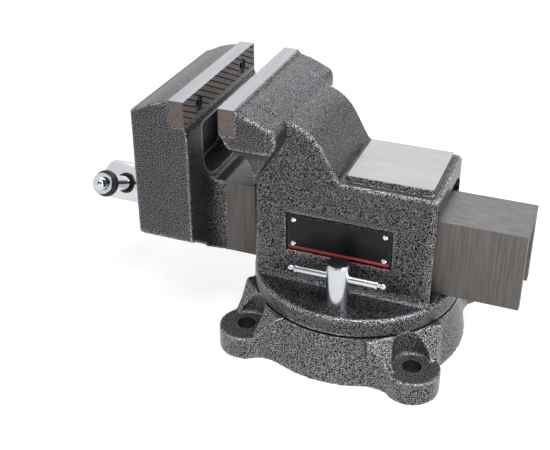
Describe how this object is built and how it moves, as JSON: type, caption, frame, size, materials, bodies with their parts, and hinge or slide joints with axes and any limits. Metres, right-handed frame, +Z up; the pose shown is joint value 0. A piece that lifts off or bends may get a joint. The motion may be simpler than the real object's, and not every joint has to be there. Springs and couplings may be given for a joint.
{
  "type": "bench vise",
  "caption": "Bench vise on a swivel base: fixed jaw with anvil, sliding jaw on a box bar, spindle with sliding handle and swivel lock screws.",
  "frame": {"origin": "centre of the bench bolt circle on the swivel axis, at the underside of the base", "axes": "+Z up along the swivel axis; +X along the slide bar from the moving jaw towards the anvil; +Y across the jaws"},
  "size_m": [0.4043, 0.2422, 0.2295],
  "materials": {
    "hammertone_casting": "dark grey hammertone enamel on cast iron; the slide bar and the anvil face are bare machined iron",
    "ground_steel": "ground and hardened steel, serrated gripping face",
    "black_steel": "black oxide steel",
    "black_plate": "satin black enamelled plate with a red line",
    "aluminium": "bare aluminium drive rivets",
    "bare_iron": "bare machined iron",
    "zinc_steel": "zinc plated steel",
    "chrome": "polished chrome plate",
    "black_rubber": "matt black rubber"
  },
  "bodies": {
    "base": {"base_casting": "hammertone_casting"},
    "body": {"vise_body": "hammertone_casting", "fixed_jaw_plate": "ground_steel", "fixed_jaw_screws": "black_steel", "nameplate": "black_plate", "nameplate_rivets": "aluminium", "spindle_nut": "bare_iron", "nut_bolt_washer": "zinc_steel", "spindle_nut_bolt": "zinc_steel", "lock_nut_near": "bare_iron", "lock_nut_far": "bare_iron"},
    "jaw": {"moving_jaw": "hammertone_casting", "moving_jaw_plate": "ground_steel", "moving_jaw_screws": "black_steel"},
    "spindle": {"spindle": "chrome", "thrust_washer": "zinc_steel", "retaining_collar": "zinc_steel", "collar_pin": "zinc_steel", "backlash_spring": "zinc_steel", "handle_hole_rings": "black_rubber"},
    "handle": {"handle_bar": "chrome", "handle_knob_upper": "chrome", "handle_knob_lower": "chrome", "handle_buffer_upper": "black_rubber", "handle_buffer_lower": "black_rubber"},
    "lock_near": {"lock_screw_near": "chrome"},
    "lock_far": {"lock_screw_far": "chrome"},
    "t_bar_near": {"lock_bar_near": "chrome"},
    "t_bar_far": {"lock_bar_far": "chrome"}
  },
  "joints": [
    {"name": "swivel", "type": "hinge", "parent": "base", "child": "body", "pos_m": [0, 0, 0.046], "axis": [0, 0, 1], "continuous": true},
    {"name": "jaw_slide", "type": "slide", "parent": "body", "child": "jaw", "axis": [-1, 0, 0], "range_m": [-0.0305, 0.1194]},
    {"name": "spindle_turn", "type": "hinge", "parent": "jaw", "child": "spindle", "pos_m": [-0.2, 0, 0.099], "axis": [-1, 0, 0], "range_deg": [-2193, 8595]},
    {"name": "handle_slide", "type": "slide", "parent": "spindle", "child": "handle", "axis": [0, 0.8988, -0.4384], "range_m": [-0.1135, 0.033]},
    {"name": "lock_turn_near", "type": "hinge", "parent": "body", "child": "lock_near", "pos_m": [0.004, -0.0715, 0.0632], "axis": [0, 0, 1], "range_deg": [-16, 16]},
    {"name": "lock_turn_far", "type": "hinge", "parent": "body", "child": "lock_far", "pos_m": [0.004, 0.0715, 0.0632], "axis": [0, 0, 1], "range_deg": [-16, 16]},
    {"name": "t_bar_slide_near", "type": "slide", "parent": "lock_near", "child": "t_bar_near", "axis": [1, 0, 0], "range_m": [-0.0228, 0.026]},
    {"name": "t_bar_slide_far", "type": "slide", "parent": "lock_far", "child": "t_bar_far", "axis": [1, 0, 0], "range_m": [-0.0228, 0.026]}
  ],
  "couplings": [
    {"joint": "jaw_slide", "follows": "spindle_turn", "m_per_rad": 0.00079577}
  ]
}
